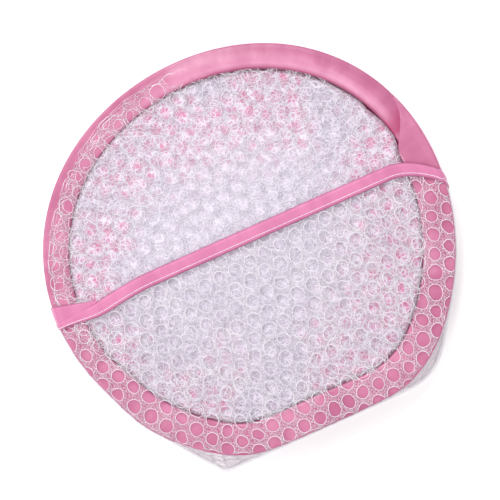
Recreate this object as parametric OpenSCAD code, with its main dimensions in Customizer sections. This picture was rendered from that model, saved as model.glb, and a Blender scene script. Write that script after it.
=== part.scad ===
// Pop-up mesh laundry bag, twisted flat and stowed in its own mesh pouch.
// Four spring-wire side frames are each coiled three turns deep, and the four coils
// lie on one another as the leaves of one round disc.
// Millimetres. +Z up, X along the pouch mouth, +Y out of the mouth.
// The origin is under the middle of the whole, on the surface it lies on.

/* [Coils] */
// Outer radius of the folded disc
coil_r = 104; // [90:1:125]
// How far the pouch's bottom seam flattens the disc
squash = 8; // [0:0.5:12]
// How much smaller the inmost turn of a coil is than the outmost
coil_spread = 5; // [0:0.5:6]
// Thickness of the whole stowed bag, without the stitching
stowed_t = 24.1; // [22:0.1:40]

/* [Frame casing and wire] */
// Width of the flat casing around each spring wire
casing_w = 13; // [8:0.1:16]
// Thickness of the casing and binding tape
tape = 0.15; // [0.1:0.01:0.2]
// Diameter of the spring wire
wire_d = 1; // [0.8:0.05:1.05]
// Length of the crimp sleeve that joins the wire's ends
sleeve_len = 9; // [6:0.5:14]

/* [Stowing pouch] */
// Distance from the disc's centre up to the pouch's mouth
mouth_y = 11.3; // [0:0.1:30]
// How far the mouth sags at its right end
mouth_sag = 14; // [0:1:20]
// Width of the binding on the mouth
binding_w = 7.4; // [4:0.1:10]
// Direction that the left side of the pouch faces as it runs to its sharp corner
left_side = 216.6; // [212:0.1:224]
// Direction that the right side of the pouch faces as it runs to its round corner
right_side = 326.9; // [318:0.1:332]
// Thickness of the pouch's mesh
pouch_t = 0.6; // [0.5:0.05:1]

/* [Carrying handles] */
// Width of a handle's webbing
webbing_w = 20; // [15:1:30]
// Length of a handle, folded double
handle_len = 90; // [60:5:110]

/* [Hidden] */

mesh_white = "#e9e7f2";
casing_pink = "#de7daa";
binding_pink = "#eb87b9";
steel = "#9a9a9e";

// Fits
fit_gap = 0.8;      // between the disc and the pouch's wall
lay_gap = 0.3;      // between neighbouring leaves, and under the first
front_gap = 0.6;    // between the top leaf and the pouch's front
lane_gap = 0.5;     // between the diving strand and the strands it passes
panel_gap = 0.4;    // between a mesh panel and the casing around it
bore_gap = 0.02;    // around the wire in its sleeve, on the radius
tongue = tape + 0.01;   // thickness of the mesh edge held in a binding
slot = tongue + 0.04;   // height of the slot that holds it

// Leaves: each is three strands deep
strands = 3;
strand_gap = 0.1;
leaf_pitch = (stowed_t - 2*pouch_t - front_gap)/4;
leaf_h = leaf_pitch - lay_gap;
strand_pitch = (leaf_h + strand_gap)/strands;
casing_h = strand_pitch - strand_gap;
front_z = stowed_t - pouch_t;
function leaf_z(leaf) = pouch_t + lay_gap + (leaf - 1)*leaf_pitch;

// Where each leaf's strands cross, and the way a coil goes from level to level
cross_at = [38, 30, 22, 14];
turn_step = 10;
stations = strands*360/turn_step;
ramp = 2.5*turn_step;
lane_run = 3*turn_step;
flat_power = 40;

// Wire and sleeve inside the casing
sleeve_wall = 0.15;
sleeve_d = min(wire_d + 2*(bore_gap + sleeve_wall), casing_h - 2*tape - 0.04);
wire_inset = tape + 0.06 + sleeve_d/2;
wire_end_gap = 1;
wire_sides = 6;

// Panels
panel_inset = 0.2;
flange_t = 0.4;
webbing_t = 0.6;
bottom_t = 0.5;
bottom_inset = 2;
fold_gap = 0.08;

// Pouch outline, around the disc's centre
hug_r = coil_r + fit_gap;
bottom_y = coil_r - squash + fit_gap;
corner_x = (hug_r + bottom_y*sin(left_side))/cos(left_side);
corner_f = 180 + atan2(bottom_y, -corner_x);
bulge_side = 343.3;
bulge_run = 12.4;
round_power = 18;
outline_step = 5;
far = 1000;
sag_from = 0.73*coil_r;
sag_run = 0.265*coil_r;

// Seam and stitching
seam_h = 0.8;
wall_z = pouch_t + seam_h + 0.2;
stitch_in = 5.5;
stitch_w = 0.5;
stitch_h = 0.15;

// Disc centre, placed so that the whole lies evenly around the origin
bulge_r = hug_r/cos(bulge_run);
disc_x = (hug_r - bulge_r)/2;
disc_y = (bottom_y + pouch_t - coil_r)/2;

// ---- Path of a coiled frame. The turn angle t runs from 0 to 1080 degrees, clockwise.

function smooth(u) = let (v = min(1, max(0, u))) v*v*(3 - 2*v);

// Level of the strand, from 0 to 2: it climbs twice and then dives back to the start
function level(t) = let (n = floor(t/360), b = t - 360*n, up = smooth((b + ramp)/(2*ramp)),
    down = smooth((b - 360 + ramp)/(2*ramp)))
  b < ramp ? (n == 0 ? 2*(1 - up) : n - 1 + up)
  : b > 360 - ramp ? (n == 2 ? 2*(1 - down) : n + down)
  : n;

function spread(t) = coil_spread*(0.5 + 0.5*cos(t/strands));

// The dive runs in a lane inside the other two strands
lane_w = casing_w + lane_gap - spread(ramp) + spread(360 - ramp);
function lane(t) = lane_w*(t < 180 ? 1 - smooth((t - ramp)/lane_run)
  : smooth((t - strands*360 + ramp + lane_run)/lane_run));

// The round of the disc, cut off softly along the pouch's bottom
function disc_r(f) = sin(f) > -0.1 ? coil_r
  : pow(pow(coil_r, -flat_power) + pow((squash - coil_r)/sin(f), -flat_power), -1/flat_power);
function heading(leaf, t) = cross_at[leaf - 1] - t;
function reach(leaf, t) = disc_r(heading(leaf, t)) - spread(t) - lane(t);
function turn(k) = (k % stations + 0.5)*turn_step;

// A point of the coil, from its distance inside the outer edge and its height in the strand
function coil_point(leaf, t, inset, up) = let (f = heading(leaf, t), r = reach(leaf, t) - inset)
  [r*cos(f), r*sin(f), leaf_z(leaf) + level(t)*strand_pitch + up];

function sweep_faces(rings, sides, closed) = concat(
  [for (i = [0 : rings - (closed ? 1 : 2)], j = [0 : sides - 1], half = [0, 1])
    let (a = i*sides, b = ((i + 1) % rings)*sides, k = (j + 1) % sides)
    half == 0 ? [a + j, b + j, b + k] : [a + j, b + k, a + k]],
  closed ? [] : [[for (j = [0 : sides - 1]) j],
    [for (j = [0 : sides - 1]) rings*sides - 1 - j]]);

module on_disc() translate([disc_x, disc_y, 0]) children();

// ---- Frame casing: tape folded around the wire, open towards the middle of the coil

casing_section = [
  [casing_w, 0], [casing_w, tape], [tape, tape], [tape, casing_h - tape],
  [casing_w, casing_h - tape], [casing_w, casing_h], [0, casing_h], [0, 0]
];

module frame_casing(leaf) {
  sides = len(casing_section);
  color(casing_pink) on_disc() polyhedron(
    points = [for (k = [0 : stations - 1], p = casing_section) coil_point(leaf, turn(k), p[0], p[1])],
    faces = sweep_faces(stations, sides, true));
}

// ---- Spring wire: one length coiled three times, its ends held in a crimped sleeve

join_k = stations/2 - 1;
join_run = 2*coil_r*sin(turn_step/2);
function wire_ring(leaf, k) = [for (j = [0 : wire_sides - 1]) let (q = j*360/wire_sides)
  coil_point(leaf, turn(k), wire_inset + wire_d/2*cos(q), casing_h/2 + wire_d/2*sin(q))];
function between(a, b, u) = [for (j = [0 : len(a) - 1]) a[j]*(1 - u) + b[j]*u];

module spring_wire(leaf) {
  before = wire_ring(leaf, join_k);
  after = wire_ring(leaf, join_k + 1);
  end_u = wire_end_gap/2/join_run;
  rings = concat([between(before, after, 0.5 + end_u)],
    [for (k = [1 : stations]) wire_ring(leaf, join_k + k)],
    [between(before, after, 0.5 - end_u)]);
  color(steel) on_disc() polyhedron(points = [for (ring = rings, p = ring) p],
    faces = sweep_faces(len(rings), wire_sides, false));
}

module wire_sleeve(leaf) {
  before = coil_point(leaf, turn(join_k), wire_inset, casing_h/2);
  after = coil_point(leaf, turn(join_k + 1), wire_inset, casing_h/2);
  color(steel) on_disc() translate((before + after)/2)
    rotate([0, 90, heading(leaf, (join_k + 1)*turn_step) + 90]) difference() {
      cylinder(h = sleeve_len, d = sleeve_d, center = true, $fn = 48);
      cylinder(h = sleeve_len + 1, d = wire_d + 2*bore_gap, center = true, $fn = 48);
    }
}

// ---- Mesh panels, each inside its frame with a hem that runs into the middle strand's casing

function strand_reach(leaf, k, n) = reach(leaf, turn(k + n*360/turn_step));
function inner_reach(leaf, k) = min([for (n = [0 : strands - 1]) strand_reach(leaf, k, n)]) - casing_w;
function hem_reach(leaf, k) = lane(turn(k)) + lane(turn(k + 720/turn_step)) > 0
  ? inner_reach(leaf, k) - panel_gap
  : strand_reach(leaf, k, 1) - wire_inset - sleeve_d/2 - panel_gap;
function around(leaf, reaches) = [for (k = [0 : len(reaches) - 1]) let (f = heading(leaf, turn(k)))
  reaches[k]*[cos(f), sin(f)]];
turn_ks = [0 : 360/turn_step - 1];

module panel_outline(leaf) polygon(around(leaf, [for (k = turn_ks) inner_reach(leaf, k) - panel_gap]));
module hem_outline(leaf) polygon(around(leaf, [for (k = turn_ks) hem_reach(leaf, k)]));

// over and under are kept free above and below the panel for what is sewn to it
module mesh_panel(leaf, under, over) {
  color(mesh_white) on_disc() translate([0, 0, leaf_z(leaf)]) {
    translate([0, 0, panel_inset + under])
      linear_extrude(leaf_h - 2*panel_inset - under - over) panel_outline(leaf);
    translate([0, 0, strand_pitch + (casing_h - flange_t)/2]) linear_extrude(flange_t) hem_outline(leaf);
  }
}

module bottom_panel(leaf) {
  color(mesh_white) on_disc() translate([0, 0, leaf_z(leaf) + panel_inset])
    linear_extrude(bottom_t)
    polygon(around(leaf, [for (k = turn_ks) inner_reach(leaf, k) - bottom_inset]));
}

// ---- Carrying handle: webbing folded double and sewn flat on its panel

module carry_handle(leaf, facing) {
  fold_x = handle_len/2 - webbing_t;
  color(binding_pink) on_disc()
    translate([0, 0, leaf_z(leaf) + leaf_h - panel_inset - webbing_t])
    rotate([90, 0, facing]) linear_extrude(webbing_w, center = true) difference() {
      union() {
        translate([-handle_len/2, -webbing_t]) square([fold_x + handle_len/2, 2*webbing_t]);
        translate([fold_x, 0]) circle(r = webbing_t, $fn = 32);
      }
      translate([-handle_len, -fold_gap/2]) square([fold_x + handle_len, fold_gap]);
    }
}

// ---- Pouch outline

function line_r(f, side, d) = cos(f - side) > 0.1 ? d/cos(f - side) : far;
function left_r(f) = f > left_side ? line_r(f, left_side, hug_r) : hug_r;
function right_r(f) = f > bulge_side ? line_r(f, bulge_side, hug_r)
  : f < right_side && f > 270 ? line_r(f, right_side, hug_r) : f < right_side ? far : hug_r;
function bottom_r(f) = line_r(f, 270, bottom_y);
function pouch_r(f) = f < 180 ? hug_r : f <= 270 ? min(left_r(f), bottom_r(f))
  : pow(pow(bottom_r(f), -round_power) + pow(right_r(f), -round_power), -1/round_power);
function snap(f) = abs(f - corner_f) <= outline_step/2 ? corner_f : f;

module outline(grow) polygon([for (f0 = [0 : outline_step : 359]) let (f = snap(f0))
  (pouch_r(f) + grow)*[cos(f), sin(f)]]);

function mouth(x) = mouth_y - mouth_sag*pow(max(0, x - sag_from)/sag_run, 2);
module below_mouth(drop) polygon(concat([[-2*coil_r, -2*coil_r]],
  [[-2*coil_r, mouth_y - drop]],
  [for (i = [0 : 10]) let (x = sag_from + i/10*1.2*sag_run) [x, mouth(x) - drop]],
  [[2*coil_r, mouth(sag_from + 1.2*sag_run) - drop], [2*coil_r, -2*coil_r]]));

module sheet_shape() intersection() { outline(pouch_t); below_mouth(binding_w); }
module tongue_shape() intersection() { outline(pouch_t/2); below_mouth(2*tape); }
module band_shape() difference() {
  intersection() { outline(pouch_t); below_mouth(0); }
  below_mouth(binding_w);
}
module wall_ring() difference() { outline(pouch_t); outline(0); }

// One pouch sheet, with the thin edge that the binding holds
module pouch_sheet() {
  linear_extrude(pouch_t) sheet_shape();
  translate([0, 0, (pouch_t - tongue)/2]) linear_extrude(tongue) tongue_shape();
}

// Binding folded over the edge of a pouch sheet
module binding() difference() {
  linear_extrude(pouch_t) band_shape();
  translate([0, 0, (pouch_t - slot)/2]) linear_extrude(slot) below_mouth(tape);
}

module pouch_back() color(mesh_white) on_disc() pouch_sheet();
module back_binding() color(binding_pink) on_disc() binding();

module pouch_seam() color(mesh_white) on_disc() translate([0, 0, pouch_t])
  linear_extrude(seam_h) intersection() { wall_ring(); below_mouth(0); }

module pouch_front() color(mesh_white) on_disc() {
  translate([0, 0, front_z]) pouch_sheet();
  translate([0, 0, wall_z]) linear_extrude(front_z - wall_z)
    intersection() { wall_ring(); below_mouth(binding_w); }
}

module front_binding() color(binding_pink) on_disc() {
  translate([0, 0, front_z]) binding();
  translate([0, 0, wall_z]) linear_extrude(front_z - wall_z)
    intersection() { wall_ring(); band_shape(); }
}

module mouth_stitch() color("white") on_disc() translate([0, 0, stowed_t])
  linear_extrude(stitch_h) intersection() {
    outline(-2*stitch_w);
    difference() { below_mouth(stitch_in); below_mouth(stitch_in + stitch_w); }
  }

pouch_back();
back_binding();
pouch_seam();
pouch_front();
front_binding();
mouth_stitch();
frame_casing(1);  // frame_casing_1
frame_casing(2);  // frame_casing_2
frame_casing(3);  // frame_casing_3
frame_casing(4);  // frame_casing_4
spring_wire(1);  // spring_wire_1
spring_wire(2);  // spring_wire_2
spring_wire(3);  // spring_wire_3
spring_wire(4);  // spring_wire_4
wire_sleeve(1);  // wire_sleeve_1
wire_sleeve(2);  // wire_sleeve_2
wire_sleeve(3);  // wire_sleeve_3
wire_sleeve(4);  // wire_sleeve_4
mesh_panel(1, 0, 2*webbing_t);  // mesh_panel_1
mesh_panel(2, bottom_t, 0);  // mesh_panel_2
mesh_panel(3, 0, 2*webbing_t);  // mesh_panel_3
mesh_panel(4, 0, 0);  // mesh_panel_4
carry_handle(1, 20);  // carry_handle_1
carry_handle(3, 65);  // carry_handle_2
bottom_panel(2);
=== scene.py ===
import bmesh
import bpy
import numpy as np
from mathutils import Matrix, Vector, noise


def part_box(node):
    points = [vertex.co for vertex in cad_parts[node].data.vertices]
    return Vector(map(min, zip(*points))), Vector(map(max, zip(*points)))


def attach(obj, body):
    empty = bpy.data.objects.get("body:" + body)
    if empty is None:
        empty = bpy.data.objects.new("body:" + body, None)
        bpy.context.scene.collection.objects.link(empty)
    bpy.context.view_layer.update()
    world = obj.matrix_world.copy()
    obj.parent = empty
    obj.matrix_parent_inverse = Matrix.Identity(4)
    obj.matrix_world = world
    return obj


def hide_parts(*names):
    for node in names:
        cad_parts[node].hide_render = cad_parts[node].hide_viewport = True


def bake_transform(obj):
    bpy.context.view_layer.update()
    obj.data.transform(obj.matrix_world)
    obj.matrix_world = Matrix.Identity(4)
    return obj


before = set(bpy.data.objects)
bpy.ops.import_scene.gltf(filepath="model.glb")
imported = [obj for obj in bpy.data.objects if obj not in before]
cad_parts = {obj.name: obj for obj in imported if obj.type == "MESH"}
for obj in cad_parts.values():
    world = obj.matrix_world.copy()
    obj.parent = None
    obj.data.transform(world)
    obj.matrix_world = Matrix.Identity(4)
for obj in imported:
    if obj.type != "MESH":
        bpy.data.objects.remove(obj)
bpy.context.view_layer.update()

mm = 0.001
backLow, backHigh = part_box("pouch_back")

# The folded bag, in millimetres round the middle of its disc, as the frame has it
bag = {
    "radius": 104.0, "squash": 8.0, "flatPower": 40,
    "spread": 5.0, "strands": 3, "casingWide": 13.0, "casingHigh": 1.69, "strandPitch": 1.792,
    "laneGap": 0.5, "ramp": 25.0, "laneRun": 30.0,
    "firstLeaf": 0.9, "leafPitch": 5.575, "crossAt": (38, 30, 22, 14),
    "wireInset": 0.89, "wireThick": 1.0,
    "lobe": 1.9, "lobeAt": 38.0, "lobeLess": -0.3,
}
pouch = {
    "fitGap": 0.8, "thick": 0.6, "mouthY": 11.3, "mouthSag": 14.0, "sagFrom": 75.9, "sagRun": 27.6,
    "bindingWide": 7.4, "stitchDown": 5.6, "leftSide": 216.6, "rightSide": 326.9, "roundPower": 18,
    "top": 24.1, "low": 1.2, "blendTo": 23.0,
}
discX = backLow.x / mm + bag["radius"] + pouch["fitGap"] + pouch["thick"]
discY = backLow.y / mm + bag["radius"] - bag["squash"] + pouch["fitGap"] + pouch["thick"]


# Small helpers

def smooth(u):
    v = np.clip(u, 0, 1)
    return v * v * (3 - 2 * v)


def mix(a, b, u):
    return a * (1 - u) + b * u


def polar(r, f):
    a = np.radians(f)
    return r * np.cos(a), r * np.sin(a)


def rough(points, size, seed):
    # smooth noise at each point, about -1 to 1
    flat = np.asarray(points, float).reshape(-1, 3) / size + seed
    found = [noise.noise(Vector(p)) for p in flat]
    return np.array(found).reshape(np.asarray(points).shape[:-1])


def gridMesh(name, points, flat, closeU=False, closeV=False):
    # a mesh from a grid of points in millimetres of the disc, with flat as its UV map
    nu, nv = points.shape[:2]
    iu = np.arange(nu if closeU else nu - 1)
    iv = np.arange(nv if closeV else nv - 1)
    u, v = np.meshgrid(iu, iv, indexing="ij")
    a = (u * nv + v).ravel()
    b = (((u + 1) % nu) * nv + v).ravel()
    c = (((u + 1) % nu) * nv + (v + 1) % nv).ravel()
    d = (u * nv + (v + 1) % nv).ravel()
    mesh = bpy.data.meshes.new(name)
    places = (points.reshape(-1, 3) + [discX, discY, 0]) * mm
    mesh.from_pydata(places.tolist(), [], np.stack([a, b, c, d], 1).tolist())
    layer = mesh.uv_layers.new(name="UVMap")
    corners = [(u, v), (u + 1, v), (u + 1, v + 1), (u, v + 1)]
    uv = np.stack([flat[i.ravel(), j.ravel()] for i, j in corners], 1)
    layer.data.foreach_set("uv", uv.astype(np.float32).ravel())
    mesh.polygons.foreach_set("use_smooth", np.ones(len(mesh.polygons), bool))
    piece = bpy.data.objects.new(name, mesh)
    bpy.context.collection.objects.link(piece)
    return piece


def tidyMesh(piece, weld=0.0, outward=True):
    work = bmesh.new()
    work.from_mesh(piece.data)
    if weld:
        bmesh.ops.remove_doubles(work, verts=work.verts, dist=weld)
    bmesh.ops.dissolve_degenerate(work, dist=1e-7, edges=work.edges)
    if outward:
        bmesh.ops.recalc_face_normals(work, faces=work.faces)
    work.to_mesh(piece.data)
    work.free()
    return piece


def closeEnds(piece):
    work = bmesh.new()
    work.from_mesh(piece.data)
    bmesh.ops.holes_fill(work, edges=[e for e in work.edges if e.is_boundary], sides=0)
    work.to_mesh(piece.data)
    work.free()
    return tidyMesh(piece)


def finish(piece, material, body, replaces=()):
    if material is not None:
        piece.data.materials.clear()
        piece.data.materials.append(material)
    if isinstance(body, str):
        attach(piece, body)
    else:
        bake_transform(piece)
    if replaces:
        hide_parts(*replaces)
    return piece


# The shapes that the frame follows

def lobes(f):
    # the sprung wires lie in a slightly three-sided round, but not along the pouch's bottom
    g = np.asarray(f, float) % 360
    wave = bag["lobe"] * np.cos(np.radians(3 * (g - bag["lobeAt"]))) + bag["lobeLess"]
    left = 1 - smooth((g - 200) / 16)
    right = smooth((g - 300) / 20)
    return wave * np.where(g < 200, 1.0, np.where(g < 270, left, right))


def discR(f):
    s = np.sin(np.radians(f))
    line = (bag["squash"] - bag["radius"]) / np.where(s < -0.1, s, -1.0)
    soft = (bag["radius"] ** -bag["flatPower"] + line ** -bag["flatPower"]) ** (-1 / bag["flatPower"])
    return np.where(s > -0.1, bag["radius"], soft) + lobes(f)


def level(t):
    turn = np.floor(t / 360)
    b = t - 360 * turn
    up = smooth((b + bag["ramp"]) / (2 * bag["ramp"]))
    down = smooth((b - 360 + bag["ramp"]) / (2 * bag["ramp"]))
    start = np.where(turn == 0, 2 * (1 - up), turn - 1 + up)
    end = np.where(turn == 2, 2 * (1 - down), turn + down)
    return np.where(b < bag["ramp"], start, np.where(b > 360 - bag["ramp"], end, turn))


def spread(t):
    return bag["spread"] * (0.5 + 0.5 * np.cos(np.radians(t / bag["strands"])))


laneWide = bag["casingWide"] + bag["laneGap"] - spread(bag["ramp"]) + spread(360 - bag["ramp"])


def lane(t):
    leave = 1 - smooth((t - bag["ramp"]) / bag["laneRun"])
    join = smooth((t - bag["strands"] * 360 + bag["ramp"] + bag["laneRun"]) / bag["laneRun"])
    return laneWide * np.where(t < 180, leave, join)


def leafZ(leaf):
    return bag["firstLeaf"] + (leaf - 1) * bag["leafPitch"]


def lineR(f, side, d):
    c = np.cos(np.radians(f - side))
    return np.where(c > 0.1, d / np.where(c > 0.1, c, 1), 400.0)


def pouchR(f):
    f = np.asarray(f, float) % 360
    hug = bag["radius"] + pouch["fitGap"]
    near = hug + lobes(f)
    bottom = lineR(f, 270, bag["radius"] - bag["squash"] + pouch["fitGap"])
    left = np.where(f > pouch["leftSide"], lineR(f, pouch["leftSide"], hug), near)
    atSide = hug + lobes(pouch["rightSide"])
    right = np.where((f < pouch["rightSide"]) & (f > 270), lineR(f, pouch["rightSide"], atSide),
                     np.where(f < pouch["rightSide"], 400.0, near))
    p = pouch["roundPower"]
    soft = (bottom ** -p + right ** -p) ** (-1 / p)
    return np.where(f < 180, near, np.where(f <= 270, np.minimum(left, bottom), soft))


def mouth(x):
    return pouch["mouthY"] - pouch["mouthSag"] * (np.maximum(0, x - pouch["sagFrom"]) / pouch["sagRun"]) ** 2


# Node helpers

def put(tree, kind, inputs=None, **settings):
    # a node with its settings, and its inputs either linked or set
    made = tree.nodes.new(kind)
    for key, value in settings.items():
        setattr(made, key, value)
    for key, value in (inputs or {}).items():
        socket = made.inputs[key]
        if isinstance(value, bpy.types.NodeSocket):
            tree.links.new(value, socket)
        else:
            socket.default_value = value
    return made


def math(tree, operation, a, b=0.0, c=0.0):
    kinds = {0: a, 1: b}
    if operation == "MULTIPLY_ADD":
        kinds[2] = c
    return put(tree, "ShaderNodeMath", kinds, operation=operation).outputs[0]


def vmath(tree, operation, a, b=None, scale=None, out=0):
    kinds = {0: a}
    if b is not None:
        kinds[1] = b
    if scale is not None:
        kinds["Scale"] = scale
    return put(tree, "ShaderNodeVectorMath", kinds, operation=operation).outputs[out]


def ramp(tree, value, low, high, toLow=0.0, toHigh=1.0):
    kinds = {"Value": value, "From Min": low, "From Max": high, "To Min": toLow, "To Max": toHigh}
    return put(tree, "ShaderNodeMapRange", kinds, interpolation_type="SMOOTHSTEP").outputs[0]


def blendColour(tree, factor, a, b, kind="MIX"):
    made = put(tree, "ShaderNodeMix", {0: factor, 6: a, 7: b}, data_type="RGBA", blend_type=kind)
    return made.outputs[2]


def fuzz(tree, vector, scale, detail=3.0, out=0):
    kinds = {"Vector": vector, "Scale": scale, "Detail": detail}
    return put(tree, "ShaderNodeTexNoise", kinds).outputs[out]


def newGroup(name, kind, sockets, results):
    tree = bpy.data.node_groups.new(name, kind)
    for label, form, value in sockets:
        socket = tree.interface.new_socket(label, in_out="INPUT", socket_type="NodeSocket" + form)
        if value is not None:
            socket.default_value = value
    for label, form in results:
        tree.interface.new_socket(label, in_out="OUTPUT", socket_type="NodeSocket" + form)
    return tree, tree.nodes.new("NodeGroupInput").outputs, tree.nodes.new("NodeGroupOutput").inputs


def useGroup(tree, group, **inputs):
    made = tree.nodes.new("ShaderNodeGroup")
    made.node_tree = group
    for key, value in inputs.items():
        socket = made.inputs[key[0].upper() + key[1:]]
        if isinstance(value, bpy.types.NodeSocket):
            tree.links.new(value, socket)
        else:
            socket.default_value = value
    return made.outputs


print("shader groups")


def buildClothWeave():
    # over and under threads of a plain weave, from a position in metres along and across the cloth
    tree, a, out = newGroup("clothWeave", "ShaderNodeTree",
                            [("Position", "Vector", None), ("Pitch", "Float", 0.0003),
                             ("Wrinkle", "Float", 0.5), ("WrinkleSize", "Float", 0.006)],
                            [("Threads", "Float"), ("Height", "Float"), ("Shade", "Float")])
    split = put(tree, "ShaderNodeSeparateXYZ", {0: a["Position"]}).outputs
    turns = math(tree, "DIVIDE", 6.2832, a["Pitch"])
    warp = math(tree, "SINE", math(tree, "MULTIPLY", split[0], turns))
    weft = math(tree, "SINE", math(tree, "MULTIPLY", split[1], turns))
    threads = math(tree, "MULTIPLY", warp, weft)
    scale = math(tree, "DIVIDE", 1.0, a["WrinkleSize"])
    folds = fuzz(tree, vmath(tree, "MULTIPLY", a["Position"], (1.0, 0.35, 1.0)), scale, 4.0)
    slow = fuzz(tree, a["Position"], math(tree, "MULTIPLY", scale, 0.22), 2.0)
    height = math(tree, "MULTIPLY_ADD", folds, a["Wrinkle"], math(tree, "MULTIPLY", threads, 0.03))
    tree.links.new(threads, out["Threads"])
    tree.links.new(height, out["Height"])
    tree.links.new(ramp(tree, math(tree, "MULTIPLY_ADD", folds, 0.5, math(tree, "MULTIPLY", slow, 0.5)),
                        0.35, 0.65), out["Shade"])
    return tree


def buildNetHoles():
    # 1 inside the holes of a hexagonal net, 0 on its threads
    tree, a, out = newGroup("netHoles", "ShaderNodeTree",
                            [("Position", "Vector", None), ("Pitch", "Float", 0.0086),
                             ("Hole", "Float", 0.3), ("Turn", "Float", 0.0), ("Stray", "Float", 0.002)],
                            [("Hole", "Float"), ("Edge", "Float")])
    stray = vmath(tree, "SUBTRACT", fuzz(tree, a["Position"], 70.0, 2.0, 1), (0.5, 0.5, 0.5))
    moved = vmath(tree, "ADD", a["Position"], vmath(tree, "SCALE", stray, scale=a["Stray"]))
    turned = put(tree, "ShaderNodeVectorRotate", {"Vector": moved, "Angle": a["Turn"]},
                 rotation_type="Z_AXIS").outputs[0]
    cell = vmath(tree, "DIVIDE", turned,
                 put(tree, "ShaderNodeCombineXYZ", {0: a["Pitch"], 1: a["Pitch"], 2: 1.0}).outputs[0])
    flat = vmath(tree, "MULTIPLY", cell, (1.0, 1.0, 0.0))
    found = []
    for shift in ((0, 0, 0), (0.5, 0.95, 0)):
        at = vmath(tree, "ADD", flat, shift)
        wrapped = put(tree, "ShaderNodeVectorMath", {0: at, 1: (0.5, 0.95, 1), 2: (-0.5, -0.95, -1)},
                      operation="WRAP").outputs[0]
        oval = vmath(tree, "MULTIPLY", wrapped, (1.0, 0.86, 0.0))
        found.append(vmath(tree, "LENGTH", oval, out=1))
    near = math(tree, "MINIMUM", found[0], found[1])
    over = math(tree, "SUBTRACT", near, a["Hole"])
    tree.links.new(ramp(tree, over, -0.06, 0.06, 1.0, 0.0), out["Hole"])
    tree.links.new(ramp(tree, math(tree, "ABSOLUTE", over), 0.0, 0.07, 1.0, 0.0), out["Edge"])
    return tree


clothWeave = buildClothWeave()
netHoles = buildNetHoles()


# Materials

def newMaterial(name, roughness, **constants):
    material = bpy.data.materials.new(name)
    material.use_nodes = True
    tree = material.node_tree
    shader = tree.nodes["Principled BSDF"]
    shader.inputs["Roughness"].default_value = roughness
    for key, value in constants.items():
        shader.inputs[key.replace("_", " ")].default_value = value
    return material, tree, shader.inputs


def bump(tree, shader, height, strength, distance):
    kinds = {"Strength": strength, "Distance": distance, "Height": height}
    tree.links.new(put(tree, "ShaderNodeBump", kinds).outputs[0], shader["Normal"])


def satin(name, look):
    # a woven satin tape that follows its own UV map, in metres
    # a faint deep-pink emission is a painted glow that keeps its shadows deep pink, in place of light the
    # thin cloth would let pass
    material, tree, shader = newMaterial(name, look["roughness"], Sheen_Weight=look["sheen"],
                                         Sheen_Roughness=0.4, Coat_Weight=look["coat"],
                                         Coat_Roughness=0.35, Emission_Color=look["paintedGlowTint"],
                                         Emission_Strength=look["glow"])
    at = put(tree, "ShaderNodeTexCoord").outputs["UV"]
    weave = useGroup(tree, clothWeave, position=at, pitch=look["pitch"], wrinkle=look["wrinkle"],
                     wrinkleSize=look["wrinkleSize"])
    tone = blendColour(tree, weave["Shade"], look["dark"], look["light"])
    fine = ramp(tree, weave["Threads"], -1.0, 1.0, 0.9, 1.0)
    colour = blendColour(tree, 1.0, tone, fine, "MULTIPLY")
    # painted light on the tape's top: a paler painted highlight along its ridge, painted shade down its outer
    # side, and painted shadow in its folds and under its inner edge
    crown = put(tree, "ShaderNodeAttribute", attribute_name="crown").outputs["Fac"]
    fold = put(tree, "ShaderNodeAttribute", attribute_name="fold").outputs["Fac"]
    paintedHighlight = math(tree, "MULTIPLY", math(tree, "MAXIMUM", crown, 0.0), look["crownShare"])
    paintedFlankShade = math(tree, "MULTIPLY", math(tree, "MINIMUM", crown, 0.0), -look["crownShare"])
    colour = blendColour(tree, paintedHighlight, colour, look["paintedHighlight"])
    colour = blendColour(tree, paintedFlankShade, colour, look["paintedFlankShade"])
    colour = blendColour(tree, fold, colour, look["fold"])
    tree.links.new(colour, shader["Base Color"])
    gloss = ramp(tree, weave["Shade"], 0.0, 1.0, look["roughness"] + 0.08, look["roughness"] - 0.06)
    tree.links.new(gloss, shader["Roughness"])
    bump(tree, shader, weave["Height"], look["bump"], 0.0006)
    return material


def yarn(name, look):
    # soft filament yarn, lighter and greyer from place to place
    # a little emission is a painted glow, in place of the light that the thin filaments let pass
    material, tree, shader = newMaterial(name, look["roughness"], Sheen_Weight=0.35, Sheen_Roughness=0.3,
                                         Emission_Color=look["light"], Emission_Strength=look["glow"])
    at = put(tree, "ShaderNodeTexCoord").outputs["Object"]
    tone = ramp(tree, fuzz(tree, at, 90.0, 3.0), 0.35, 0.65)
    colour = blendColour(tree, tone, look["dark"], look["light"])
    fine = ramp(tree, fuzz(tree, at, 1800.0, 1.0), 0.3, 0.7, 0.88, 1.0)
    tree.links.new(blendColour(tree, 1.0, colour, fine, "MULTIPLY"), shader["Base Color"])
    bump(tree, shader, fuzz(tree, at, 5200.0, 2.0), 0.4, 0.0001)
    return material


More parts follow.
